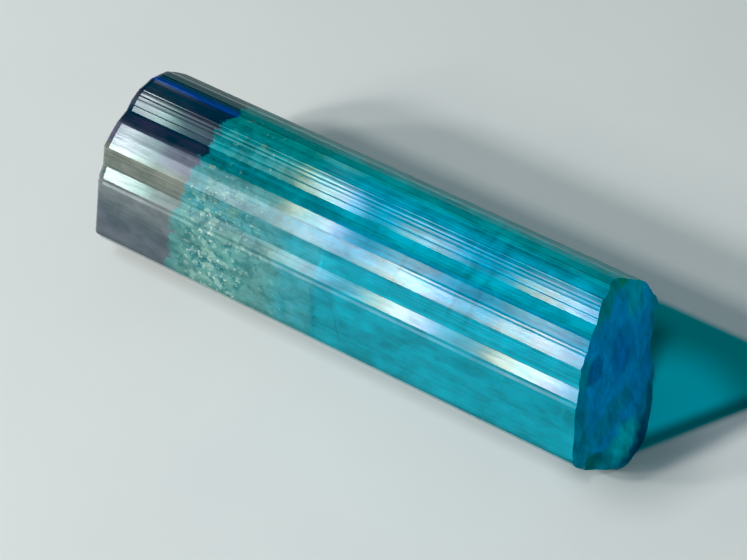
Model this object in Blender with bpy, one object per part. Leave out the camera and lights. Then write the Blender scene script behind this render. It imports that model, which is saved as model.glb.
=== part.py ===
"""A tourmaline crystal: one striated prism that lies on one of its own faces.

Lengths are in millimetres until the last step, which turns them into metres.
The prism's axis runs along +X, from the flat end to the broken end. A face is
named by the way it looks, as an angle about that axis: 0 looks to the front
(-Y), 90 up, 180 to the back, and 270 down onto what the crystal rests on.
"""
import math

import bmesh
import bpy
from mathutils import Vector, noise
from mathutils.geometry import delaunay_2d_cdt

MM = 0.001
INSIDE_ONLY = 1            # the triangulation keeps only what lies inside its outline
MERGE_DISTANCE = 0.000001

# ------------------------------------------------------------ driving sizes
PRISM_LENGTH = 32.4        # flat end to the mean plane of the broken end
AXIS_HEIGHT = 4.95         # axis above the resting face
FRONT_CORNER = (-5.34, -1.31)   # lower edge of the smooth front face, from the axis

# The prism faces from the front corner up, over the top and down the back:
# the way each looks, its width, and the depth of the groove at its upper edge.
PRISM_FACES = (
    (14, 3.98, 0.00),      # the one broad smooth face
    (40, 0.18, 0.13),
    (44, 0.44, 0.00),
    (62, 0.18, 0.00),
    (32, 0.12, 0.00),
    (16, 1.40, 0.00),
    (61, 0.42, 0.03),
    (62, 0.30, 0.00),
    (69, 0.71, 0.00),
    (86, 1.08, 0.00),
    (55, 0.13, 0.08),
    (55, 0.13, 0.17),
    (69, 0.30, 0.05),
    (70, 0.25, 0.00),
    (102, 0.93, 0.00),
    (60, 0.10, 0.10),
    (118, 0.80, 0.05),
    (120, 0.66, 0.00),
    (136, 0.95, 0.06),
    (139, 0.62, 0.05),
    (141, 0.58, 0.00),
    (158, 0.92, 0.09),
    (160, 0.88, 0.00),
    (128, 0.16, 0.00),
    (176, 1.05, 0.10),
    (180, 0.85, 0.00),
    (203, 1.25, 0.08),
    (199, 0.45, 0.12),
    (206, 1.05, 0.00),
)
BACK_UNDER_LOOKS = 236     # the face that runs down the back to the resting face
FRONT_UNDER_LOOKS = 303    # the face that rises from the resting face in front
# From there up to the front corner: the way each face looks, and its width.
FRONT_KEEL_FACES = ((327, 1.90), (337, 0.74))

WIDEST_STEP = 1.1          # points along a wide face are about this far apart

GROOVE_WIDTH = 0.24        # opening of a striation groove
GROOVE_FADE = 0.45         # share of its depth that a groove loses where it fades
GROOVE_WAVE = 9.0          # length over which it fades and deepens again
GOLDEN_TURN = 2.39996      # radians; sets neighbouring grooves out of step

# Rings of the prism: where they lie between the two ends.
BODY_RINGS = 13
END_RINGS = 7
END_SHARE = 0.12           # part of the length that the closer rings near the break take

RIM_STEPS = ((0.0, 0.17), (0.07, 0.06))   # (from the flat end, inset) of its worn rim
RIM_LENGTH = 0.24

# The break leans back towards the top, and falls away faster over its upper back.
# Swells stand out from it or sink into it: (centre, spread, reach) of the tongue
# at the bottom, of the round knob on it, of the bite out of the top, of the dip
# under that, and of the hollows at the lower front and the lower back.
BREAK_MIDDLE = 0.37
BREAK_LEAN = 0.177
BREAK_SWING = 0.017
BREAK_SWELLS = (
    ((0.2, -5.4), 3.1, 1.33),
    ((-1.9, -4.4), 1.5, 0.41),
    ((2.75, 6.1), 1.0, -0.644),
    ((0.3, 6.6), 2.6, -0.19),
    ((-4.6, -4.0), 1.2, -0.33),
    ((6.0, -2.7), 2.2, -0.66),
)
SLOPE_LOOKS = 130              # way in which its upper back part falls away
SLOPE_START = 2.3              # distance from the axis at which that part begins
SLOPE_STEEPNESS = 0.128
BREAK_ROUGHNESS = 0.2          # height of its hackly relief
BREAK_GRAIN = 2.3              # distance from one hump of the relief to the next
BREAK_SPACING = 0.6            # size of its facets
BREAK_JITTER = 0.3             # share of that size by which their corners stray
BREAK_SEED = (1.7, 2.3, 4.1)   # where in the noise they are drawn from
RIM_CLEARANCE = 0.75           # share of that size kept free along the rim


def outward(looks):
    """Unit vector (y, z) of a face's outward side."""
    turn = math.radians(looks)
    return Vector((-math.cos(turn), math.sin(turn)))


def upward(looks):
    """Unit vector (y, z) along a face, in the order in which PRISM_FACES go round."""
    turn = math.radians(looks)
    return Vector((math.sin(turn), math.cos(turn)))


def prism_outline():
    """Corners of the section round the axis, and each groove's part in moving them."""
    corner = Vector(FRONT_CORNER)
    corners = [corner.copy()]
    grooves = [None]
    for looks, width, depth in PRISM_FACES:
        corner = corner + upward(looks) * width
        corners.append(corner.copy())
        grooves.append(None)
        if depth > 0.0:
            middle = corner + upward(looks) * GROOVE_WIDTH * 0.5
            corners.append(middle)
            grooves.append(outward(looks) * -depth)
            corner = corner + upward(looks) * GROOVE_WIDTH
            corners.append(corner.copy())
            grooves.append(None)

    fall = (-AXIS_HEIGHT - corner.y) / upward(BACK_UNDER_LOOKS).y
    corners.append(corner + upward(BACK_UNDER_LOOKS) * fall)
    keel = Vector(FRONT_CORNER)
    keel_corners = []
    for looks, width in reversed(FRONT_KEEL_FACES):
        keel = keel - upward(looks) * width
        keel_corners.insert(0, keel.copy())
    rise = (keel.y + AXIS_HEIGHT) / upward(FRONT_UNDER_LOOKS).y
    corners.append(keel - upward(FRONT_UNDER_LOOKS) * rise)
    corners.extend(keel_corners)
    grooves.extend([None] * (len(corners) - len(grooves)))
    return split_wide_faces(corners, grooves)


def split_wide_faces(corners, grooves):
    """Add points along wide faces, so that their ends can follow the break."""
    all_corners = []
    all_grooves = []
    for index, (corner, groove) in enumerate(zip(corners, grooves)):
        after = corners[(index + 1) % len(corners)]
        pieces = max(1, round((after - corner).length / WIDEST_STEP))
        for piece in range(pieces):
            all_corners.append(corner.lerp(after, piece / pieces))
            all_grooves.append(groove if piece == 0 else None)
    return all_corners, all_grooves


def break_height(place):
    """How far the broken end stands past PRISM_LENGTH at a place of the section."""
    height = BREAK_MIDDLE - BREAK_LEAN * place.y + BREAK_SWING * place.x
    for centre, spread, reach in BREAK_SWELLS:
        off = (place - Vector(centre)).length / spread
        height += reach * math.exp(-off * off)
    past = place.dot(outward(SLOPE_LOOKS)) - SLOPE_START
    height -= SLOPE_STEEPNESS * max(0.0, past)
    spot = Vector((place.x / BREAK_GRAIN, place.y / BREAK_GRAIN, 0.0))
    return height + BREAK_ROUGHNESS * noise.noise(spot)


def ring_shares():
    """Where the rings lie, as shares of the way to the broken end."""
    body = [(1.0 - END_SHARE) * step / BODY_RINGS for step in range(BODY_RINGS)]
    end = [1.0 - END_SHARE + END_SHARE * step / END_RINGS for step in range(END_RINGS + 1)]
    return body[1:] + end


def side_rings():
    """The prism's rings of points (x, y, z), from the flat end to the break."""
    corners, grooves = prism_outline()
    mean_radius = sum(corner.length for corner in corners) / len(corners)
    rings = []
    for along, inset in RIM_STEPS:
        shrink = 1.0 - inset / mean_radius
        rings.append([Vector((along, c.x * shrink, c.y * shrink)) for c in corners])

    for share in (RIM_LENGTH / PRISM_LENGTH, *ring_shares()):
        ring = []
        for index, (corner, groove) in enumerate(zip(corners, grooves)):
            end = PRISM_LENGTH + break_height(corner)
            along = share * end
            place = corner.copy()
            if groove is not None:
                swell = math.cos(along / GROOVE_WAVE * math.tau + index * GOLDEN_TURN)
                place += groove * (1.0 - GROOVE_FADE * (0.5 + 0.5 * swell))
            ring.append(Vector((along, place.x, place.y)))
        rings.append(ring)
    return rings


def fill_end(builder, rim, spacing, height):
    """Close a rim with triangles; points between them stand at height(place)."""
    outline = [Vector((vert.co.y, vert.co.z)) for vert in rim]
    count = len(outline)
    inner = []
    if spacing:
        reach = max(place.length for place in outline)
        steps = math.ceil(reach / spacing)
        margin = spacing * RIM_CLEARANCE
        for row in range(-steps, steps + 1):
            for column in range(-steps, steps + 1):
                stagger = row % 2 / 2
                place = Vector(((column + stagger) * spacing, row * spacing))
                across, up, drift = BREAK_SEED
                jitter = noise.noise_vector(Vector((column * across, row * up, drift)))
                place += jitter.xy * spacing * BREAK_JITTER
                if is_well_inside(place, outline, margin):
                    inner.append(place)

    edges = [(index, (index + 1) % count) for index in range(count)]
    placed, _, triangles, origins, _, _ = delaunay_2d_cdt(
        outline + inner, edges, [], INSIDE_ONLY, MERGE_DISTANCE)
    verts = []
    for place, origin in zip(placed, origins):
        if origin[0] < count:
            verts.append(rim[origin[0]])
        else:
            verts.append(builder.verts.new((height(place), place.x, place.y)))
    for triangle in triangles:
        builder.faces.new([verts[index] for index in triangle])


def is_well_inside(place, outline, margin):
    """True if a place lies inside the outline, at least margin from its edge."""
    inside = False
    for start, end in zip(outline, outline[1:] + outline[:1]):
        if (start.y > place.y) != (end.y > place.y):
            crossing = start.x + (place.y - start.y) / (end.y - start.y) * (end.x - start.x)
            if place.x < crossing:
                inside = not inside
        side = end - start
        share = max(0.0, min(1.0, (place - start).dot(side) / side.length_squared))
        if (place - start - side * share).length < margin:
            return False
    return inside


def crystal_mesh():
    """The whole crystal, its bounding box centred over the origin, in metres."""
    builder = bmesh.new()
    rings = [[builder.verts.new(point) for point in ring] for ring in side_rings()]
    for near, far in zip(rings, rings[1:]):
        for index, vert in enumerate(near):
            after = (index + 1) % len(near)
            builder.faces.new((vert, near[after], far[after], far[index]))

    fill_end(builder, rings[0], None, lambda place: 0.0)
    fill_end(builder, rings[-1], BREAK_SPACING,
             lambda place: PRISM_LENGTH + break_height(place))
    bmesh.ops.triangulate(builder, faces=builder.faces)
    bmesh.ops.recalc_face_normals(builder, faces=builder.faces)

    low = [min(vert.co[axis] for vert in builder.verts) for axis in range(3)]
    high = [max(vert.co[axis] for vert in builder.verts) for axis in range(3)]
    ground = Vector(((low[0] + high[0]) / 2, (low[1] + high[1]) / 2, low[2]))
    for vert in builder.verts:
        vert.co = (vert.co - ground) * MM

    mesh = bpy.data.meshes.new("tourmaline_crystal")
    builder.to_mesh(mesh)
    builder.free()
    return mesh


def indicolite():
    """Blue-green tourmaline: clear, glassy, deep in colour."""
    material = bpy.data.materials.new("indicolite")
    material.use_nodes = True
    material.diffuse_color = (0.005, 0.27, 0.36, 1.0)
    shader = material.node_tree.nodes["Principled BSDF"]
    shader.inputs["Base Color"].default_value = (0.005, 0.27, 0.36, 1.0)
    shader.inputs["Roughness"].default_value = 0.06
    shader.inputs["Metallic"].default_value = 0.0
    shader.inputs["IOR"].default_value = 1.63
    shader.inputs["Transmission Weight"].default_value = 0.85
    return material


for leftover in list(bpy.data.objects):
    bpy.data.objects.remove(leftover, do_unlink=True)

crystal = bpy.data.objects.new("tourmaline_crystal", crystal_mesh())
crystal.data.materials.append(indicolite())
bpy.context.scene.collection.objects.link(crystal)
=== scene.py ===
"""A tourmaline crystal, indicolite, lying on a pale table."""
import math

import bpy
from mathutils import Matrix, Vector


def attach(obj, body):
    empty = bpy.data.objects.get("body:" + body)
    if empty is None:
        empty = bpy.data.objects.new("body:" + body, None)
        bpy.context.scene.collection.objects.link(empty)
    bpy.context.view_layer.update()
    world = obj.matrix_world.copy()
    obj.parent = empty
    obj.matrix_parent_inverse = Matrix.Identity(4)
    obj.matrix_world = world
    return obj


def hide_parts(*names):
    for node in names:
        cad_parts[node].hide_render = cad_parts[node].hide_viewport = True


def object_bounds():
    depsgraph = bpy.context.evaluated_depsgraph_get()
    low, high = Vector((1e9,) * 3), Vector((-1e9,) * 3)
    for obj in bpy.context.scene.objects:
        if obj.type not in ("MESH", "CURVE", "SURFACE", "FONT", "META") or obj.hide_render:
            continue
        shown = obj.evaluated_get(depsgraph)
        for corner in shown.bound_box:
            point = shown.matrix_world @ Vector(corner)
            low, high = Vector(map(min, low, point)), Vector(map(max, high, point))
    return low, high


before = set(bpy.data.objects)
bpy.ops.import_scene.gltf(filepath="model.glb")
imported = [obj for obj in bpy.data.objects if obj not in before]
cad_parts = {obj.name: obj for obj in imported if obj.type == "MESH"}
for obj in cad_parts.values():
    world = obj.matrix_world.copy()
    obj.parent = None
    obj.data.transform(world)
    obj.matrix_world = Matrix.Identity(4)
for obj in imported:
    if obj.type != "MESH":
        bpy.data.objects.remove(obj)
cad_low, cad_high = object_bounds()

# ---------------------------------------------------------------------------
# The crystal: one prism of indicolite, blue-green tourmaline, as it grew in its
# pocket. Its sides are natural faces, striated along the length; the near end is
# a fresh break, the far end a flat parting plane with a dark, cloudy zone before it.
# ---------------------------------------------------------------------------
MM = 0.001
SEAM = 0.0005 * MM             # points closer than this become one
PRISM_LENGTH = 32.4            # flat end to the mean plane of the broken end
AXIS_HEIGHT = 4.95             # axis above the face that the crystal rests on
FRONT_CORNER = (-5.34, -1.31)  # lower edge of the smooth front face, from the axis
HALF_ACROSS = 5.738            # from the middle to the front and back edges

# The faces in turn from that edge up, over the top and down the back: the way
# each looks (degrees, 0 to the front, 90 up), its width, the depth of the groove
# at its upper edge, and how strongly it is striated.
PRISM_FACES = (
    (14, 3.98, 0.00, 0.0),
    (40, 0.18, 0.00, 0.3),
    (12, 0.22, 0.00, 0.0),
    (44, 0.44, 0.00, 0.8),
    (45, 0.16, 0.00, 0.4),
    (42, 0.16, 0.00, 0.4),
    (16, 1.40, 0.00, 0.3),
    (61, 0.42, 0.00, 0.8),
    (62, 0.54, 0.00, 0.8),
    (69, 0.71, 0.00, 1.0),
    (86, 1.08, 0.00, 0.4),
    (55, 0.33, 0.00, 0.6),
    (80, 0.07, 0.00, 0.4),
    (55, 0.09, 0.056, 0.4),
    (91, 0.14, 0.00, 1.0),
    (69, 0.14, 0.00, 1.0),
    (91, 0.13, 0.00, 1.0),
    (69, 0.12, 0.00, 1.0),
    (91, 0.22, 0.00, 1.0),
    (69, 0.10, 0.00, 1.0),
    (102, 0.90, 0.00, 0.8),
    (96, 0.10, 0.05, 1.0),
    (118, 0.75, 0.05, 1.0),
    (120, 0.66, 0.00, 1.0),
    (136, 0.95, 0.06, 1.0),
    (139, 0.62, 0.05, 1.0),
    (141, 0.58, 0.00, 1.0),
    (158, 0.92, 0.09, 1.0),
    (160, 0.88, 0.00, 0.9),
    (128, 0.16, 0.00, 1.0),
    (176, 1.05, 0.10, 0.9),
    (180, 0.85, 0.00, 0.9),
    (203, 1.25, 0.08, 0.9),
    (199, 0.45, 0.12, 0.9),
    (206, 1.05, 0.00, 0.8),
)
GROOVE_WIDTH = 0.24
UNDER_STRIATION = 0.6

# The underside: a long face under the back, one under the front, and between the
# latter and the front face two narrow ones (looks, width).
BACK_UNDER_LOOKS = 236
FRONT_UNDER_LOOKS = 303
FRONT_KEEL_FACES = ((327, 1.90), (337, 0.74))
KEEL_STRIATION = 0.5

# Faces striated more than this are cut as finely as the striations, others coarser.
STRIATED_FROM = 0.25
COARSER = 5.0

# The break leans back towards the top, and falls away faster over its upper back;
# swells (y, z, spread, reach) stand out from it or sink into it.
BREAK_MIDDLE = 0.37
BREAK_SLANT = (0.0, 0.017, -0.177)
BREAK_SWELLS = (
    (0.2, -5.4, 3.1, 1.33),
    (-1.9, -4.4, 1.5, 0.41),
    (2.75, 6.1, 1.0, -0.644),
    (0.3, 6.6, 2.6, -0.19),
    (-4.6, -4.0, 1.2, -0.33),
    (6.0, -2.7, 2.2, -0.66),
)
SLOPE_LOOKS = 130
SLOPE_START = 2.3
SLOPE_STEEPNESS = 0.128
EDGE_ANGLE = math.radians(7)   # a sharper edge than this shows as an edge


def outward(looks):
    """Unit vector (y, z) of a face's outward side."""
    turn = math.radians(looks)
    return Vector((-math.cos(turn), math.sin(turn)))


def upward(looks):
    """Unit vector (y, z) along a face, in the order in which the faces go round."""
    turn = math.radians(looks)
    return Vector((math.sin(turn), math.cos(turn)))


def section_corners():
    """The section's corners: place, groove shift, striation of the side after it."""
    corner = Vector(FRONT_CORNER)
    corners = []
    for looks, width, depth, striated in PRISM_FACES:
        corners.append((corner.copy(), Vector((0.0, 0.0)), striated))
        corner = corner + upward(looks) * width
        if depth > 0.0:
            corners.append((corner.copy(), Vector((0.0, 0.0)), 0.0))
            middle = corner + upward(looks) * GROOVE_WIDTH / 2
            corners.append((middle, outward(looks) * -depth, 0.0))
            corner = corner + upward(looks) * GROOVE_WIDTH
    corners.append((corner.copy(), Vector((0.0, 0.0)), UNDER_STRIATION))
    fall = (-AXIS_HEIGHT - corner.y) / upward(BACK_UNDER_LOOKS).y
    heel = corner + upward(BACK_UNDER_LOOKS) * fall
    corners.append((heel, Vector((0.0, 0.0)), 0.0))
    keel = Vector(FRONT_CORNER)
    keel_corners = []
    for looks, width in reversed(FRONT_KEEL_FACES):
        keel = keel - upward(looks) * width
        keel_corners.insert(0, (keel.copy(), Vector((0.0, 0.0)), KEEL_STRIATION))
    rise = (keel.y + AXIS_HEIGHT) / upward(FRONT_UNDER_LOOKS).y
    toe = keel - upward(FRONT_UNDER_LOOKS) * rise
    corners.append((toe, Vector((0.0, 0.0)), UNDER_STRIATION))
    return corners + keel_corners


def section_object():
    """The section as a closed line in the plane x = 0, in millimetres."""
    corners = section_corners()
    count = len(corners)
    line = bpy.data.meshes.new("prism section")
    edges = [(index, (index + 1) % count) for index in range(count)]
    line.from_pydata([(0.0, place.x, place.y) for place, _, _ in corners], edges, [])
    groove = line.attributes.new("groove", "FLOAT_VECTOR", "POINT")
    striated = line.attributes.new("striated", "FLOAT", "POINT")
    side = line.attributes.new("side", "FLOAT", "POINT")
    for index, (place, shift, share) in enumerate(corners):
        after = corners[(index + 1) % count][0]
        groove.data[index].vector = (0.0, shift.x, shift.y)
        striated.data[index].value = share
        side.data[index].value = (after - place).length
    section = bpy.data.objects.new("prism section", line)
    bpy.context.scene.collection.objects.link(section)
    return section


def add(tree, kind, *values, out=0, named=None, **settings):
    """Add a node with its settings; values fill or link its sockets. Returns an output."""
    node = tree.nodes.new(kind)
    for name, setting in settings.items():
        setattr(node, name, setting)
    sockets = dict(enumerate(values))
    sockets.update(named or {})
    for key, value in sockets.items():
        if value is None:
            continue
        if isinstance(value, bpy.types.NodeSocket):
            tree.links.new(value, node.inputs[key])
        else:
            node.inputs[key].default_value = value
    return node.outputs[out] if node.outputs else node


def tree_with(name, sockets):
    """A geometry tree that has these inputs: (name, kind, value)."""
    tree = bpy.data.node_groups.new(name, "GeometryNodeTree")
    for label, kind, value in sockets:
        socket = tree.interface.new_socket(label, in_out="INPUT", socket_type=kind)
        if value is not None:
            socket.default_value = value
    tree.interface.new_socket("Geometry", in_out="OUTPUT", socket_type="NodeSocketGeometry")
    return tree


def grown(base, tree, name, inputs):
    """What the tree makes of the base object, as a plain mesh object; the base goes."""
    modifier = base.modifiers.new(name, "NODES")
    modifier.node_group = tree
    for item in tree.interface.items_tree:
        if item.in_out == "INPUT" and item.name in inputs:
            modifier[item.identifier] = inputs[item.name]
    graph = bpy.context.evaluated_depsgraph_get()
    mesh = bpy.data.meshes.new_from_object(base.evaluated_get(graph), depsgraph=graph)
    mesh.name = name
    bpy.data.objects.remove(base, do_unlink=True)
    made = bpy.data.objects.new(name, mesh)
    bpy.context.scene.collection.objects.link(made)
    return made


def prism_tree():
    """Sweep the section along x; the end rings close on the axis at either end."""
    tree = tree_with("striated prism", (
        ("Section", "NodeSocketGeometry", None),
        ("Length", "NodeSocketFloat", PRISM_LENGTH),
        ("Side rings", "NodeSocketInt", 90),
        ("Flat end rings", "NodeSocketInt", 6),
        ("Break rings", "NodeSocketInt", 44),
        ("Striation spacing", "NodeSocketFloat", 0.08),
        ("Striation depth", "NodeSocketFloat", 0.004),
        ("Rim wear", "NodeSocketFloat", 0.17),
        ("Roughness of break", "NodeSocketFloat", 0.22),
        ("Seed", "NodeSocketInt", 5),
        ("Place", "NodeSocketVector", None),
        ("Material", "NodeSocketMaterial", None),
        ("Break material", "NodeSocketMaterial", None),
    ))
    given = tree.nodes.new("NodeGroupInput").outputs

    # The section, cut finely where it is striated, with each point's striation depth.
    side = add(tree, "GeometryNodeInputNamedAttribute", "side", data_type="FLOAT")
    striated = add(tree, "GeometryNodeInputNamedAttribute", "striated", data_type="FLOAT")
    marked = add(tree, "ShaderNodeMath", striated, STRIATED_FROM, operation="GREATER_THAN")
    step = add(tree, "ShaderNodeMath", marked, 1.0 - COARSER, COARSER,
               operation="MULTIPLY_ADD")
    step = add(tree, "ShaderNodeMath", step, given["Striation spacing"], operation="MULTIPLY")
    cuts = add(tree, "ShaderNodeMath", side, step, operation="DIVIDE")
    line = add(tree, "GeometryNodeMeshToCurve", given["Section"])
    line = add(tree, "GeometryNodeSubdivideCurve", line, cuts)
    line = add(tree, "GeometryNodeCurveToMesh", line)
    count = add(tree, "GeometryNodeAttributeDomainSize", line, component="MESH")
    draw = add(tree, "FunctionNodeRandomValue", out=1, data_type="FLOAT",
               named={2: -1.0, 3: 1.0, 8: given["Seed"]})

    # A grid of rings by section points.
    body = add(tree, "ShaderNodeMath", given["Side rings"], given["Flat end rings"],
               operation="ADD")
    rings = add(tree, "ShaderNodeMath", body, given["Break rings"], operation="ADD")
    wide = add(tree, "ShaderNodeMath", count, 1.0, operation="ADD")
    grid = add(tree, "GeometryNodeMeshGrid", 1.0, 1.0, rings, wide)
    index = add(tree, "GeometryNodeInputIndex")
    ring = add(tree, "ShaderNodeMath", index, wide, operation="DIVIDE")
    ring = add(tree, "ShaderNodeMath", ring, operation="FLOOR")
    spot = add(tree, "ShaderNodeMath", index, wide, operation="MODULO")
    spot = add(tree, "ShaderNodeMath", spot, count, operation="MODULO")

    def at_spot(value, data_type):
        """A value of the section's point that this point of the grid stands for."""
        return add(tree, "GeometryNodeSampleIndex", line, value, data_type=data_type,
                   domain="POINT", named={"Index": spot})

    place = at_spot(add(tree, "GeometryNodeInputPosition"), "FLOAT_VECTOR")
    groove = at_spot(add(tree, "GeometryNodeInputNamedAttribute", "groove",
                         data_type="FLOAT_VECTOR"), "FLOAT_VECTOR")
    fine = add(tree, "ShaderNodeMath", draw, striated, operation="MULTIPLY")
    fine = at_spot(fine, "FLOAT")

    # How far out from the axis a ring is, and how far along.
    last = add(tree, "ShaderNodeMath", rings, -1.0, operation="ADD")
    before = add(tree, "ShaderNodeMath", ring, given["Flat end rings"], operation="DIVIDE")
    behind = add(tree, "ShaderNodeMath", last, ring, operation="SUBTRACT")
    behind = add(tree, "ShaderNodeMath", behind, given["Break rings"], operation="DIVIDE")
    spread = add(tree, "ShaderNodeMath", before, behind, operation="MINIMUM")
    spread = add(tree, "ShaderNodeMath", spread, 1.0, operation="MINIMUM")
    first = add(tree, "ShaderNodeMath", last, given["Break rings"], operation="SUBTRACT")
    share = add(tree, "ShaderNodeMapRange", ring, given["Flat end rings"], first, 0.0, 1.0,
                interpolation_type="SMOOTHSTEP")
    along = add(tree, "ShaderNodeMath", share, given["Length"], operation="MULTIPLY")

    # Grooves and striations fade and deepen along the crystal, each in its own time.
    phase = add(tree, "ShaderNodeMath", spot, 0.731, operation="MULTIPLY")
    beat = add(tree, "ShaderNodeCombineXYZ", along, phase, 0.0)
    wave = add(tree, "ShaderNodeTexNoise", beat, noise_dimensions="2D",
               named={"Scale": 0.05, "Detail": 1.0})
    swell = add(tree, "ShaderNodeMapRange", wave, 0.3, 0.7, 0.9, 1.0)
    shift = add(tree, "ShaderNodeVectorMath", groove, operation="SCALE",
                named={"Scale": swell})
    radial = add(tree, "ShaderNodeVectorMath", place, operation="NORMALIZE")
    growth = add(tree, "ShaderNodeMapRange", wave, 0.35, 0.62, 0.25, 1.0)
    fine = add(tree, "ShaderNodeMath", fine, given["Striation depth"], operation="MULTIPLY")
    fine = add(tree, "ShaderNodeMath", fine, growth, operation="MULTIPLY")

    # The rim of the flat end is worn round.
    worn = add(tree, "ShaderNodeMapRange", along, 0.0, 0.26, 1.0, 0.0)
    worn = add(tree, "ShaderNodeMath", worn, 2.0, operation="POWER")
    worn = add(tree, "ShaderNodeMath", worn, given["Rim wear"], operation="MULTIPLY")
    inward = add(tree, "ShaderNodeMath", fine, worn, operation="SUBTRACT")

    moved = add(tree, "ShaderNodeVectorMath", radial, operation="SCALE",
                named={"Scale": inward})
    place = add(tree, "ShaderNodeVectorMath", place, shift, operation="ADD")
    place = add(tree, "ShaderNodeVectorMath", place, moved, operation="ADD")
    place = add(tree, "ShaderNodeVectorMath", place, operation="SCALE",
                named={"Scale": spread})

    # How far the break stands out at each place.
    height = add(tree, "ShaderNodeVectorMath", place, BREAK_SLANT, out=1,
                 operation="DOT_PRODUCT")
    height = add(tree, "ShaderNodeMath", height, BREAK_MIDDLE, operation="ADD")
    for across, up, reach_out, rise in BREAK_SWELLS:
        away = add(tree, "ShaderNodeVectorMath", place, (0.0, across, up),
                   operation="SUBTRACT")
        away = add(tree, "ShaderNodeVectorMath", away, away, out=1, operation="DOT_PRODUCT")
        away = add(tree, "ShaderNodeMath", away, -1.0 / reach_out ** 2, operation="MULTIPLY")
        away = add(tree, "ShaderNodeMath", away, operation="EXPONENT")
        height = add(tree, "ShaderNodeMath", away, rise, height, operation="MULTIPLY_ADD")
    looks = outward(SLOPE_LOOKS)
    past = add(tree, "ShaderNodeVectorMath", place, (0.0, looks.x, looks.y), out=1,
               operation="DOT_PRODUCT")
    past = add(tree, "ShaderNodeMath", past, -SLOPE_START, operation="ADD")
    past = add(tree, "ShaderNodeMath", past, 0.0, operation="MAXIMUM")
    height = add(tree, "ShaderNodeMath", past, -SLOPE_STEEPNESS, height,
                 operation="MULTIPLY_ADD")
    hackle = add(tree, "ShaderNodeTexNoise", place, noise_dimensions="3D",
                 named={"Scale": 0.8, "Detail": 2.0, "Roughness": 0.5})
    hackle = add(tree, "ShaderNodeMath", hackle, -0.5, operation="ADD")
    hackle = add(tree, "ShaderNodeMath", hackle, given["Roughness of break"],
                 operation="MULTIPLY")
    height = add(tree, "ShaderNodeMath", hackle, 2.0, height, operation="MULTIPLY_ADD")
    end = add(tree, "ShaderNodeMath", height, given["Length"], operation="ADD")
    reach = add(tree, "ShaderNodeMath", end, share, operation="MULTIPLY")
    reach = add(tree, "ShaderNodeCombineXYZ", reach)
    place = add(tree, "ShaderNodeVectorMath", place, reach, operation="ADD")

    skin = add(tree, "GeometryNodeSetPosition", grid, None, place)
    on_break = add(tree, "ShaderNodeMath", first, -0.5, operation="ADD")
    on_break = add(tree, "ShaderNodeMath", ring, on_break, operation="GREATER_THAN")
    skin = add(tree, "GeometryNodeStoreNamedAttribute", skin, None, "on break", on_break,
               data_type="FLOAT", domain="POINT")
    skin = add(tree, "GeometryNodeTransform", skin,
               named={"Translation": given["Place"], "Scale": (MM, MM, MM)})
    skin = add(tree, "GeometryNodeMergeByDistance", skin, None, SEAM)
    skin = add(tree, "GeometryNodeRealizeInstances", skin)
    skin = add(tree, "GeometryNodeSetMaterial", skin, None, given["Material"])
    on_break = add(tree, "GeometryNodeInputNamedAttribute", "on break", data_type="FLOAT")
    on_break = add(tree, "ShaderNodeMath", on_break, 0.75, operation="GREATER_THAN")
    skin = add(tree, "GeometryNodeSetMaterial", skin, on_break, given["Break material"])
    add(tree, "NodeGroupOutput", skin)
    return tree


def linear(code):
    """A colour given as sRGB hex, turned to linear."""
    shades = [int(code[place:place + 2], 16) / 255 for place in (0, 2, 4)]
    turned = [s / 12.92 if s <= 0.04045 else ((s + 0.055) / 1.055) ** 2.4 for s in shades]
    return (*turned, 1.0)


def glass(name):
    """A new material of tourmaline's optics: its tree, its shader, places in mm."""
    material = bpy.data.materials.new(name)
    material.use_nodes = True
    tree = material.node_tree
    shader = tree.nodes["Principled BSDF"]
    shader.inputs["IOR"].default_value = 1.63
    deep = add(tree, "ShaderNodeVolumeAbsorption", (0.0, 0.9, 0.93, 1.0), 130.0)
    tree.links.new(deep, tree.nodes["Material Output"].inputs["Volume"])
    here = add(tree, "ShaderNodeTexCoord", out=3)
    here = add(tree, "ShaderNodeVectorMath", here, (1000.0, 1000.0, 1000.0),
               operation="MULTIPLY")
    return material, tree, shader, here


def mixed(tree, share, first, second):
    """One colour passing into another."""
    return add(tree, "ShaderNodeMix", data_type="RGBA", out=2,
               named={0: share, 6: first, 7: second})


def grain(tree, here, scales, detail, low, high):
    """Noise drawn out along the axes by these scales per mm, spread over low..high."""
    spot = add(tree, "ShaderNodeVectorMath", here, scales, operation="MULTIPLY")
    noise = add(tree, "ShaderNodeTexNoise", spot,
                named={"Scale": 1.0, "Detail": detail, "Roughness": 0.6})
    return add(tree, "ShaderNodeMapRange", noise, 0.32, 0.68, low, high)


# Healed cracks that cross the crystal: (place at mid height, lean, from, to, width,
# shade), in mm; a shade under 1 is dark, over 1 pale.
CRACKS = (
    (-2.05, -0.16, -1.0, 2.2, 0.28, 0.60),
    (-0.40, -0.38, -1.0, 1.9, 0.10, 0.72),
    (-2.45, 0.05, 2.6, 5.2, 0.16, 1.35),
    (-0.60, 0.10, 5.25, 5.45, 0.12, 0.45),
    (1.60, 0.15, 3.6, 5.5, 0.14, 0.75),
    (5.60, 0.10, 3.6, 6.4, 0.26, 0.76),
    (6.20, -0.08, 4.4, 6.4, 0.12, 1.20),
    (6.90, 0.06, 3.4, 6.2, 0.32, 0.74),
    (9.60, 0.25, 1.2, 2.3, 0.14, 1.30),
    (9.30, 0.10, 3.5, 4.8, 0.40, 1.25),
    (13.60, 0.20, 1.2, 2.2, 0.22, 1.30),
)

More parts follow.
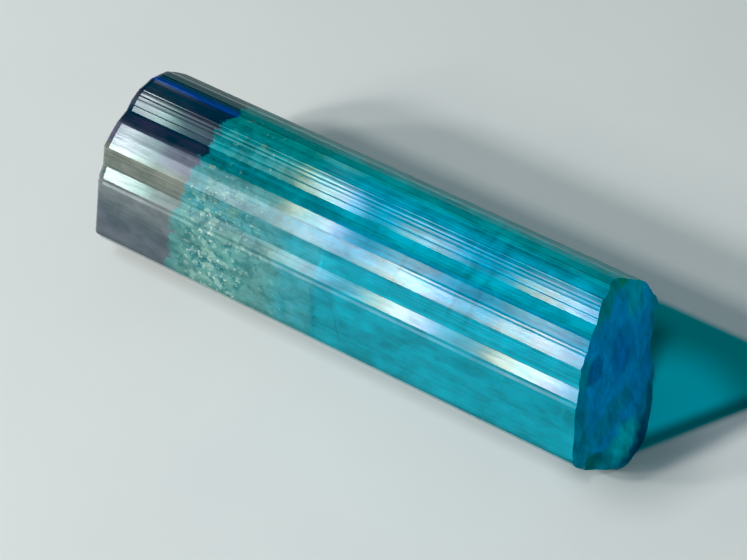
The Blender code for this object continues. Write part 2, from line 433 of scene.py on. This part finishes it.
# Flakes in the cloudy zone, from the large and faint to the small and bright, the last being
# painted glints: noise per mm, its detail, the range over which it turns to flakes, colour
# and strength.
FLAKES = (
    (1.1, 5.0, 0.48, 0.52, "7cbcb0", 0.60),
    (2.0, 4.0, 0.52, 0.56, "a8d8cc", 0.75),
    (3.4, 3.0, 0.57, 0.61, "d8f0ea", 0.90),
)
STRIATION_RELIEF = 0.01 * MM


def indicolite():
    """Blue-green tourmaline, natural glassy faces: deep teal where it is thick."""
    material, tree, shader, here = glass("indicolite, natural faces")
    shader.inputs["Specular Tint"].default_value = (0.75, 0.97, 0.96, 1.0)
    along = add(tree, "ShaderNodeSeparateXYZ", here, out=0)
    across = add(tree, "ShaderNodeSeparateXYZ", here, out=1)
    above = add(tree, "ShaderNodeSeparateXYZ", here, out=2)
    above = add(tree, "ShaderNodeMath", above, -AXIS_HEIGHT, operation="ADD")

    # Body colour, from the front face over the top to the back.
    across = add(tree, "ShaderNodeMapRange", across, -HALF_ACROSS, HALF_ACROSS, 0.0, 1.0)
    body = add(tree, "ShaderNodeValToRGB", across)
    ramp(body, (
        (0.00, "06a8c0"), (0.09, "06aecb"), (0.12, "10bce0"), (0.15, "0cbcdc"),
        (0.19, "10bce0"), (0.21, "20c0ec"), (0.26, "18b8ec"), (0.32, "14b8e8"),
        (0.34, "04cce8"), (0.40, "04ccf0"), (0.42, "10bcf0"), (0.51, "10bcf0"),
        (0.54, "04d0ff"), (0.61, "04d4f4"), (0.64, "04dce8"), (0.76, "04c8d0"),
        (0.80, "06b4bc"), (0.92, "0aa8b0"), (1.00, "0a98a0")))

    # Zones of growth lie square to the axis, with ragged borders. The dark one at the
    # flat end reaches further at the top, and its border frays.
    ragged = add(tree, "ShaderNodeTexNoise", here,
                 named={"Scale": 1.9, "Detail": 5.0, "Roughness": 0.75})
    ragged = add(tree, "ShaderNodeMath", ragged, 1.1, -0.55, operation="MULTIPLY_ADD")
    wavering = add(tree, "ShaderNodeMath", along, ragged, operation="ADD")
    cloudy = add(tree, "ShaderNodeMapRange", wavering, -5.6, -4.3, 1.0, 0.0)
    pale = add(tree, "ShaderNodeMapRange", wavering, -2.5, -2.1, 0.35, 0.0)
    forward = add(tree, "ShaderNodeMapRange", above, 2.0, 5.5, 0.0, -0.6)
    flaky = add(tree, "ShaderNodeTexNoise", here,
                named={"Scale": 1.6, "Detail": 5.0, "Roughness": 0.6})
    flaky = add(tree, "ShaderNodeMath", flaky, 1.8, -0.9, operation="MULTIPLY_ADD")
    capped = add(tree, "ShaderNodeMath", ragged, 0.3, along, operation="MULTIPLY_ADD")
    capped = add(tree, "ShaderNodeMath", capped, forward, operation="ADD")
    capped = add(tree, "ShaderNodeMath", capped, flaky, operation="ADD")
    cap = add(tree, "ShaderNodeMapRange", capped, -12.30, -12.02, 1.0, 0.0)
    haze = add(tree, "ShaderNodeValToRGB", across)
    ramp(haze, (
        (0.00, "5c9c9c"), (0.09, "66a6a6"), (0.15, "58b0bc"), (0.21, "50b0c0"),
        (0.32, "30a4b4"), (0.36, "14a8bc"), (0.44, "30b0c0"), (0.55, "10b0bc"),
        (0.64, "0cacac"), (0.80, "20a4a4"), (1.00, "1c9494")))
    colour = mixed(tree, pale, body, haze)
    colour = mixed(tree, cloudy, colour, haze)

    # Clouds of fluid inclusions, and among them flakes and bubbles a few tenths of a
    # millimetre across, crowd the zone next to the dark one.
    crowd = add(tree, "ShaderNodeValToRGB",
                add(tree, "ShaderNodeMapRange", along, -13.0, 3.0, 0.0, 1.0))
    ramp(crowd, ((0.04, "000000"), (0.10, "e1e1e1"), (0.20, "ffffff"), (0.30, "f0f0f0"),
                 (0.40, "cbcbcb"), (0.50, "aaaaaa"), (0.62, "898989"), (0.78, "000000")))
    facing = add(tree, "ShaderNodeValToRGB", across)
    ramp(facing, ((0.0, "ffffff"), (0.15, "f0f0f0"), (0.22, "e1e1e1"), (0.31, "d0d0d0"),
                  (0.34, "bcbcbc"), (0.55, "bcbcbc"), (0.70, "aaaaaa"), (0.80, "6c6c6c")))
    crowd = add(tree, "ShaderNodeMath", crowd, facing, operation="MULTIPLY")
    cloud = grain(tree, here, (0.9, 1.1, 1.1), 5.0, -0.3, 1.1)
    cloud = add(tree, "ShaderNodeMath", cloud, crowd, operation="MULTIPLY", use_clamp=True)
    cloud = add(tree, "ShaderNodeMath", cloud, 0.6, operation="MULTIPLY")
    colour = mixed(tree, cloud, colour, linear("84c0bc"))
    bias = add(tree, "ShaderNodeMath", crowd, 0.24, -0.24, operation="MULTIPLY_ADD")
    gaps = add(tree, "ShaderNodeTexNoise", here, named={"Scale": 1.9, "Detail": 3.0})
    gaps = add(tree, "ShaderNodeMapRange", gaps, 0.50, 0.42, 0.0, 0.8)
    gaps = add(tree, "ShaderNodeMath", gaps, crowd, operation="MULTIPLY")
    colour = mixed(tree, gaps, colour, linear("04747c"))
    # The last, smallest and brightest layer is painted glints of light.
    for cells, detail, low, high, flake_and_glint, full in FLAKES:
        flake = add(tree, "ShaderNodeTexNoise", here,
                    named={"Scale": cells, "Detail": detail, "Roughness": 0.6})
        flake = add(tree, "ShaderNodeMath", flake, bias, operation="ADD")
        flake = add(tree, "ShaderNodeMapRange", flake, low, high, 0.0, full)
        colour = mixed(tree, flake, colour, linear(flake_and_glint))

    # The dark zone: grey in front, partly its own smoky tone and partly a painted
    # reflection of the pale surround; plum and navy over the top.
    dark = add(tree, "ShaderNodeValToRGB", across)
    ramp(dark, (
        (0.00, "5e5a68"), (0.04, "565462"), (0.065, "6a6c74"), (0.10, "747478"),
        (0.12, "6a7074"), (0.16, "7c7c74"), (0.19, "78786e"), (0.22, "6c647c"),
        (0.31, "625a74"), (0.33, "402c48"), (0.38, "3c2444"), (0.41, "302844"),
        (0.45, "505064"), (0.50, "4a3850"), (0.53, "3a2040"), (0.58, "302448"),
        (0.60, "3a2040"), (0.62, "34204c"), (0.632, "2838b4"), (0.665, "2838b4"),
        (0.68, "34204c"), (0.72, "302c44"), (1.00, "34304a")))
    colour = mixed(tree, cap, colour, dark)

    # Silky streaks along the length on the striated faces; soft blocky mottles, half a
    # millimetre or so across, everywhere.
    silky = add(tree, "ShaderNodeMapRange", across, 0.09, 0.13, 0.10, 0.32)
    silk = grain(tree, here, (0.05, 7.5, 7.5), 3.0, -1.0, 1.0)
    silk = add(tree, "ShaderNodeMath", silk, silky, operation="MULTIPLY")
    mottle = grain(tree, here, (0.7, 1.1, 1.1), 5.0, 0.78, 1.22)
    shade = add(tree, "ShaderNodeMath", silk, mottle, operation="ADD")
    blocks = add(tree, "ShaderNodeVectorMath", here, (0.7, 1.5, 1.5), operation="MULTIPLY")
    blocks = add(tree, "ShaderNodeTexVoronoi", blocks, out=1, feature="SMOOTH_F1",
                 named={"Scale": 1.0, "Smoothness": 0.35})
    blocks = add(tree, "ShaderNodeSeparateColor", blocks)
    blocks = add(tree, "ShaderNodeMapRange", blocks, 0.2, 0.8, -0.12, 0.12)
    shade = add(tree, "ShaderNodeMath", shade, blocks, operation="ADD")
    colour = add(tree, "ShaderNodeVectorMath", colour, operation="SCALE",
                 named={"Scale": shade})

    # The cracks, each only as high up as it reaches, and broken up along its line.
    broken_up = grain(tree, here, (1.2, 1.2, 1.2), 3.0, 0.2, 1.2)
    for place, lean, low, high, width, tone in CRACKS:
        sway = add(tree, "ShaderNodeMath", above, -lean, -place, operation="MULTIPLY_ADD")
        sway = add(tree, "ShaderNodeMath", sway, along, operation="ADD")
        sway = add(tree, "ShaderNodeMath", ragged, 0.60, sway, operation="MULTIPLY_ADD")
        sway = add(tree, "ShaderNodeMath", sway, operation="ABSOLUTE")
        line = add(tree, "ShaderNodeMapRange", sway, 0.0, width, 1.0, 0.0,
                   interpolation_type="SMOOTHSTEP")
        floor = add(tree, "ShaderNodeMapRange", above, low, low + 0.4, 0.0, 1.0)
        roof = add(tree, "ShaderNodeMapRange", above, high, high + 0.2, 1.0, 0.0)
        line = add(tree, "ShaderNodeMath", line, floor, operation="MULTIPLY")
        line = add(tree, "ShaderNodeMath", line, roof, operation="MULTIPLY")
        line = add(tree, "ShaderNodeMath", line, broken_up, operation="MULTIPLY")
        gain = add(tree, "ShaderNodeMath", line, tone - 1.0, 1.0, operation="MULTIPLY_ADD")
        colour = add(tree, "ShaderNodeVectorMath", colour, operation="SCALE",
                     named={"Scale": gain})

    # Painted shade: the lowest strip of the front, and what lies under it, sees only the
    # table, so its colour is darkened there.
    painted_low_shade = add(tree, "ShaderNodeMapRange", above, -1.35, -0.9, 0.55, 1.0)
    colour = add(tree, "ShaderNodeVectorMath", colour, operation="SCALE",
                 named={"Scale": painted_low_shade})
    tree.links.new(colour, shader.inputs["Base Color"])

    # Half clear, since fluid inclusions scatter the light; the dark zone is less clear.
    clear = add(tree, "ShaderNodeMapRange", cap, 0.0, 1.0, 0.5, 0.25)
    tree.links.new(clear, shader.inputs["Transmission Weight"])

    # Bright faces, with duller lines along them; the back is duller yet.
    dull = grain(tree, here, (0.05, 8.0, 8.0), 3.0, -0.03, 0.05)
    dull = add(tree, "ShaderNodeMath", dull, 0.028, operation="MAXIMUM")
    behind = add(tree, "ShaderNodeMapRange", across, 0.72, 0.80, 0.0, 0.45)
    dull = add(tree, "ShaderNodeMath", dull, behind, operation="MAXIMUM")
    tree.links.new(dull, shader.inputs["Roughness"])

    # Growth striations too fine for the mesh: real ones are a few hundredths of a
    # millimetre apart, and are drawn a few tenths apart so that they show.
    fine = grain(tree, here, (0.04, 4.5, 4.5), 0.0, 0.0, 1.0)
    strong = add(tree, "ShaderNodeMapRange", across, 0.09, 0.12, 0.02, 0.14)
    relief = add(tree, "ShaderNodeBump", strong, STRIATION_RELIEF, named={"Height": fine})
    tree.links.new(relief, shader.inputs["Normal"])
    return material


# Patches of the break: (across, above the table, half width, half height, colour), mm.
BREAK_PATCHES = (
    (-4.9, 4.0, 1.5, 5.4, "0484a4"),
    (-3.4, 8.6, 1.4, 1.2, "06a0bc"),
    (-2.3, 8.0, 0.9, 1.0, "015cac"),
    (0.6, 6.4, 1.3, 1.7, "0174c8"),
    (-1.6, 3.4, 2.6, 0.9, "0188b0"),
    (3.6, 9.0, 1.4, 2.2, "06b0cc"),
    (1.0, 10.8, 3.2, 1.1, "028c90"),
    (3.4, 10.2, 1.0, 0.5, "04946c"),
    (5.6, 4.5, 0.9, 3.5, "0490a4"),
    (-2.0, 0.6, 4.6, 1.5, "02808c"),
    (-4.0, 1.8, 1.0, 0.6, "24605c"),
    (2.6, 0.6, 1.8, 0.6, "015c80"),
    (-0.5, 0.6, 2.2, 0.9, "014478"),
    (-1.4, 1.4, 1.5, 0.8, "0cc0d0"),
)
PATCH_SHIFT = 0.8              # mean shift of the patches by the noise that frays them
HACKLE_RELIEF = 0.1 * MM


def fresh_break():
    """The broken end: seen along the crystal, so the deepest blue, dull and hackly."""
    material, tree, shader, here = glass("indicolite, fresh break")
    shader.inputs["Specular IOR Level"].default_value = 0.15
    shader.inputs["Specular Tint"].default_value = (0.0, 0.6, 1.0, 1.0)
    shader.inputs["Roughness"].default_value = 0.38
    shader.inputs["Transmission Weight"].default_value = 0.1

    # Deep blue, with clearer and darker patches where cracks below catch the light.
    spot = add(tree, "ShaderNodeTexNoise", here, out=1, named={"Scale": 0.9, "Detail": 3.0})
    spot = add(tree, "ShaderNodeVectorMath", spot,
               (0.0, 2 * PATCH_SHIFT, 2 * PATCH_SHIFT), here, operation="MULTIPLY_ADD")
    colour = linear("0196e0")
    for y, z, wide, tall, shade in BREAK_PATCHES:
        away = add(tree, "ShaderNodeVectorMath", spot,
                   (0.0, y + PATCH_SHIFT, z + PATCH_SHIFT), operation="SUBTRACT")
        away = add(tree, "ShaderNodeVectorMath", away, (0.0, 1.0 / wide, 1.0 / tall),
                   operation="MULTIPLY")
        away = add(tree, "ShaderNodeVectorMath", away, out=1, operation="LENGTH")
        away = add(tree, "ShaderNodeMapRange", away, 0.5, 1.3, 0.9, 0.0,
                   interpolation_type="SMOOTHSTEP")
        colour = mixed(tree, away, colour, linear(shade))
    flecks = grain(tree, here, (1.0, 1.3, 0.7), 5.0, 0.9, 1.7)
    colour = add(tree, "ShaderNodeVectorMath", colour, operation="SCALE",
                 named={"Scale": flecks})
    tree.links.new(colour, shader.inputs["Base Color"])
    hackle = grain(tree, here, (1.1, 1.1, 1.1), 4.0, 0.0, 1.0)
    relief = add(tree, "ShaderNodeBump", 0.6, HACKLE_RELIEF, named={"Height": hackle})
    tree.links.new(relief, shader.inputs["Normal"])
    return material


def ramp(socket, stops):
    """Set a colour ramp's stops: (place, hex)."""
    elements = socket.node.color_ramp.elements
    while len(elements) > 1:
        elements.remove(elements[-1])
    for number, (place, code) in enumerate(stops):
        element = elements[0] if number == 0 else elements.new(place)
        element.position = place
        element.color = linear(code)


section = section_object()
crystal = grown(section, prism_tree(), "crystal", {
    "Place": (cad_low.x, cad_low.y - FRONT_CORNER[0] * MM, AXIS_HEIGHT * MM),
    "Material": indicolite(),
    "Break material": fresh_break(),
})
crystal.data.polygons.foreach_set("use_smooth", [True] * len(crystal.data.polygons))
crystal.data.set_sharp_from_angle(angle=EDGE_ANGLE)
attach(crystal, "root")
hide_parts("tourmaline_crystal")

# ---------------------------------------------------------------------------
# The table: a pale matt laminate sheet.
# ---------------------------------------------------------------------------
TABLE_HALF = 0.6
# Painted shadow: the table's colour is darkened around this point.
PAINTED_SHADOW_MIDDLE = (17.2, -0.6, 0.0)       # where the break's lower edge keeps light off, mm
# Painted light: a teal patch painted into the table's colour stands for the light that comes
# through the crystal's end.
PAINTED_LIGHT_MIDDLE = (18.0, 4.0, 0.0)      # the light that comes through the crystal, mm
PAINTED_LIGHT_BRIGHTEST = (17.8, 2.6, 0.0)
PAINTED_LIGHT_INWARD = (-0.81, 0.59, 0.0)    # across the painted light's front border
sheet = bpy.data.meshes.new("table")
sheet.from_pydata([(-TABLE_HALF, -TABLE_HALF, 0.0), (TABLE_HALF, -TABLE_HALF, 0.0),
                   (TABLE_HALF, TABLE_HALF, 0.0), (-TABLE_HALF, TABLE_HALF, 0.0)],
                  [], [(0, 1, 2, 3)])
table = bpy.data.objects.new("table", sheet)
bpy.context.scene.collection.objects.link(table)


def laminate():
    """Pale matt laminate: even, with faint scuffs, with light painted on as a teal patch
    where the crystal's end lets light through onto it, and with shade painted close under the
    end."""
    material = bpy.data.materials.new("pale laminate, matt")
    material.use_nodes = True
    tree = material.node_tree
    shader = tree.nodes["Principled BSDF"]
    here = add(tree, "ShaderNodeTexCoord", out=3)
    here = add(tree, "ShaderNodeVectorMath", here, (1000.0, 1000.0, 1000.0),
               operation="MULTIPLY")
    worn = grain(tree, here, (0.05, 0.05, 0.05), 4.0, 0.0, 1.0)
    colour = mixed(tree, worn, linear("d4dbdf"), linear("d8e0e2"))

    # A speck of dust here and there.
    dots = add(tree, "ShaderNodeTexVoronoi", here, named={"Scale": 0.12})
    dots = add(tree, "ShaderNodeMapRange", dots, 0.010, 0.022, 0.6, 0.0)
    colour = mixed(tree, dots, colour, linear("70787c"))

    # Painted light: the teal light that comes through the crystal, painted into the table's
    # colour, bounded by the crystal's shadow behind and in front by a line that runs off the
    # way the key light shines, with a painted dark band along that line.
    across = add(tree, "ShaderNodeSeparateXYZ", here, out=1)
    inner = add(tree, "ShaderNodeVectorMath", here, PAINTED_LIGHT_INWARD, out=1,
                operation="DOT_PRODUCT")
    behind = add(tree, "ShaderNodeMapRange", across, 9.3, 10.0, 1.0, 0.0,
                 interpolation_type="SMOOTHSTEP")
    front = add(tree, "ShaderNodeMapRange", inner, -15.0, -14.4, 0.0, 1.0,
                interpolation_type="SMOOTHSTEP")
    painted_dark_border = add(tree, "ShaderNodeMapRange", inner, -14.3, -13.3, 0.85, 0.0,
                 interpolation_type="SMOOTHSTEP")
    away = add(tree, "ShaderNodeVectorMath", here, PAINTED_LIGHT_MIDDLE, out=1,
               operation="DISTANCE")
    away = add(tree, "ShaderNodeMapRange", away, 6.5, 9.0, 1.0, 0.0,
               interpolation_type="SMOOTHSTEP")
    painted_light = add(tree, "ShaderNodeMath", behind, front, operation="MULTIPLY")
    painted_light = add(tree, "ShaderNodeMath", painted_light, away, operation="MULTIPLY")
    bright = add(tree, "ShaderNodeVectorMath", here, PAINTED_LIGHT_BRIGHTEST, out=1,
                 operation="DISTANCE")
    bright = add(tree, "ShaderNodeMapRange", bright, 2.4, 6.0, 0.0, 1.0,
                 interpolation_type="SMOOTHSTEP")
    painted_light_colour = mixed(tree, bright, linear("00d8ec"), linear("0097a1"))
    painted_light_colour = mixed(tree, painted_dark_border, painted_light_colour, linear("004850"))

    # Painted shadow: close under the broken end the table's colour is darkened.
    painted_shadow = add(tree, "ShaderNodeVectorMath", here, PAINTED_SHADOW_MIDDLE, out=1,
               operation="DISTANCE")
    painted_shadow = add(tree, "ShaderNodeMapRange", painted_shadow, 1.0, 6.0, 0.50, 0.0,
               interpolation_type="SMOOTHSTEP")
    colour = mixed(tree, painted_shadow, colour, linear("6c7678"))
    colour = mixed(tree, painted_light, colour, painted_light_colour)
    tree.links.new(colour, shader.inputs["Base Color"])
    shader.inputs["Roughness"].default_value = 0.6
    return material


sheet.materials.append(laminate())

# ---------------------------------------------------------------------------
# Soft studio light: a group of key lights from the front left, a row of narrow
# strips overhead that the prism faces mirror, and an even pale surround.
# ---------------------------------------------------------------------------


def lamp(name, place, aim, size, watts, tint):
    """An area light at this place, turned to its aim, with its width along X."""
    light = bpy.data.lights.new(name, "AREA")
    light.shape = "RECTANGLE"
    light.size, light.size_y = size
    light.energy = watts
    light.color = linear(tint)[:3]
    lamp_object = bpy.data.objects.new(name, light)
    towards = (Vector(aim) - Vector(place)).normalized()
    back = -towards
    side = (Vector((1.0, 0.0, 0.0)) - back * back.x).normalized()
    up = back.cross(side)
    turn = Matrix((side, up, back)).transposed().to_4x4()
    lamp_object.matrix_world = Matrix.Translation(place) @ turn
    bpy.context.scene.collection.objects.link(lamp_object)
    return lamp_object


# Four key lights (direction, watts) stand close together at the front left, so that the
# shadow is soft and grows paler outwards. An overhead light evens out the table.
KEY_AWAY = 0.39
KEY_LIGHTS = (((-0.97, -1.22, 1.0), 0.56), ((-1.60, -1.25, 1.0), 0.41),
              ((-1.10, -1.60, 1.0), 0.17), ((-0.80, -0.84, 1.0), 0.56))
for number, (towards, watts) in enumerate(KEY_LIGHTS):
    place = Vector(towards).normalized() * KEY_AWAY
    key = lamp(f"key light {number}", place, (0.0, 0.0, 0.005), (0.03, 0.03), watts, "fffaf2")
    key.visible_glossy = False
overhead = lamp("overhead light", (-0.02, -0.14, 0.37), (0.0, 0.0, 0.005), (0.08, 0.08), 0.32,
                "f4faff")
overhead.visible_glossy = False

# Strip lights for the prism faces to mirror, flagged off everything else. Each runs
# along X and is brighter in four stretches, yellow at one side and violet at the other,
# like the window panes that such a light stands for.
STRIP_AWAY = 0.376
STRIP_LONG = 0.15
STRIP_MIDDLE = -0.1225
LEFT = (1.30, 0.82, 0.25)
WHITE = (1.30, 0.94, 0.84)
RIGHT = (0.95, 0.72, 1.15)
NEUTRAL = (0.92, 0.97, 1.00)
ROSY = (1.30, 0.90, 1.05)
# Middle, half width, tint of the glow around, and tints from left to right.
STRETCHES = (
    (-0.187, 0.0115, NEUTRAL, (1.05, 1.0, 1.10), (1.05, 1.0, 1.02), (0.70, 1.0, 0.86)),
    (-0.1345, 0.0105, ROSY, LEFT, WHITE, RIGHT),
    (-0.106, 0.0115, ROSY, LEFT, WHITE, RIGHT),
    (-0.072, 0.0135, ROSY, LEFT, WHITE, RIGHT),
)
# Direction, height, brightness, share of it all along, share in each stretch.
STRIPS = (
    (64, 0.070, 16.0, 0.240, (0.70, 0.20, 0.75, 0.50)),
    (79, 0.066, 11.0, 0.070, (0.85, 1.15, 0.30, 0.32)),
    (51, 0.085, 12.5, 0.020, (0.85, 1.00, 0.42, 0.85)),
    (29, 0.075, 17.0, 0.110, (1.20, 0.22, 0.75, 0.95)),
    (21, 0.030, 4.0, 0.500, (2.40, 0.20, 0.00, 0.15)),
    (123, 0.046, 3.0, 0.000, (0.80, 1.60, 0.25, 0.60)),
    (135, 0.070, 1.2, 0.000, (0.80, 0.80, 0.00, 0.30)),
    (147, 0.050, 0.5, 0.000, (0.30, 0.80, 0.00, 0.20)),
)


def panes(light, everywhere, shares):
    """Give a strip light its bright stretches, uneven along and across it."""
    light.use_nodes = True
    tree = light.node_tree
    here = add(tree, "ShaderNodeNewGeometry")
    spot = add(tree, "ShaderNodeSeparateXYZ", here, out=0)
    spot = add(tree, "ShaderNodeMapRange", spot, STRIP_MIDDLE - STRIP_LONG / 2,
               STRIP_MIDDLE + STRIP_LONG / 2, 0.0, 1.0)
    glow = add(tree, "ShaderNodeValToRGB", spot)
    steps = glow.node.color_ramp
    steps.interpolation = "B_SPLINE"
    steps.elements.remove(steps.elements[-1])
    steps.elements[0].color = (*(everywhere * shade for shade in NEUTRAL), 1.0)
    for (middle, half, around, left, white, right), share in zip(STRETCHES, shares):
        for side, level, tint in ((-1.0, 0.0, left), (-0.55, 0.6, left), (-0.1, 1.0, white),
                                  (0.1, 1.0, white), (0.55, 0.6, right), (1.0, 0.0, right)):
            place = (middle + side * half - STRIP_MIDDLE) / STRIP_LONG + 0.5
            step = steps.elements.new(min(max(place, 0.0), 1.0))
            step.color = (*(everywhere * low + share * level * shade
                            for low, shade in zip(around, tint)), 1.0)
    uneven = add(tree, "ShaderNodeTexNoise", here, named={"Scale": 190.0, "Detail": 2.0})
    uneven = add(tree, "ShaderNodeMapRange", uneven, 0.32, 0.68, 0.55, 1.35)
    glow = add(tree, "ShaderNodeVectorMath", glow, operation="SCALE", named={"Scale": uneven})
    emission = tree.nodes["Emission"]
    tree.links.new(glow, emission.inputs["Color"])


for looks, tall, bright, everywhere, shares in STRIPS:
    direction = outward(looks) * STRIP_AWAY
    strip = lamp(f"strip light {looks}", (STRIP_MIDDLE, direction.x, direction.y),
                 (STRIP_MIDDLE, 0.0, 0.008), (STRIP_LONG, tall),
                 bright * math.pi * STRIP_LONG * tall, "ffffff")
    panes(strip.data, everywhere, shares)
    strip.visible_diffuse = False
    strip.visible_transmission = False

world = bpy.data.worlds.new("studio surround")
world.use_nodes = True
world.node_tree.nodes["Background"].inputs["Color"].default_value = linear("e8eef0")
world.node_tree.nodes["Background"].inputs["Strength"].default_value = 0.147
bpy.context.scene.world = world

# Clear blue-green tourmaline leaves hardly any red, so the darkest reds go to black.
view = bpy.context.scene.view_settings
view.view_transform = "Standard"
view.use_curve_mapping = True
view.curve_mapping.black_level = (0.03, 0.0, 0.0)
view.curve_mapping.update()

# ---------------------------------------------------------------------------
# The camera, held about 13 cm from the crystal.
# ---------------------------------------------------------------------------
AZIMUTH = math.radians(30.40)
ELEVATION = math.radians(53.42)
CAMERA_AWAY = 128.78 * MM
AIM = Vector((0.0, 0.0, 5.0)) * MM
AIM_LEFT = 0.934 * MM
AIM_DOWN = 0.606 * MM
camera = bpy.data.cameras.new("camera")
camera.lens = 104.01
camera.sensor_width = 36.0
camera.clip_start = 0.005
camera_object = bpy.data.objects.new("camera", camera)
back = Vector((math.sin(AZIMUTH) * math.cos(ELEVATION),
               -math.cos(AZIMUTH) * math.cos(ELEVATION), math.sin(ELEVATION)))
side = Vector((math.cos(AZIMUTH), math.sin(AZIMUTH), 0.0))
up = back.cross(side)
aim = AIM - side * AIM_LEFT - up * AIM_DOWN
turn = Matrix((side, up, back)).transposed().to_4x4()
camera_object.matrix_world = Matrix.Translation(aim + back * CAMERA_AWAY) @ turn
bpy.context.scene.collection.objects.link(camera_object)
bpy.context.scene.camera = camera_object
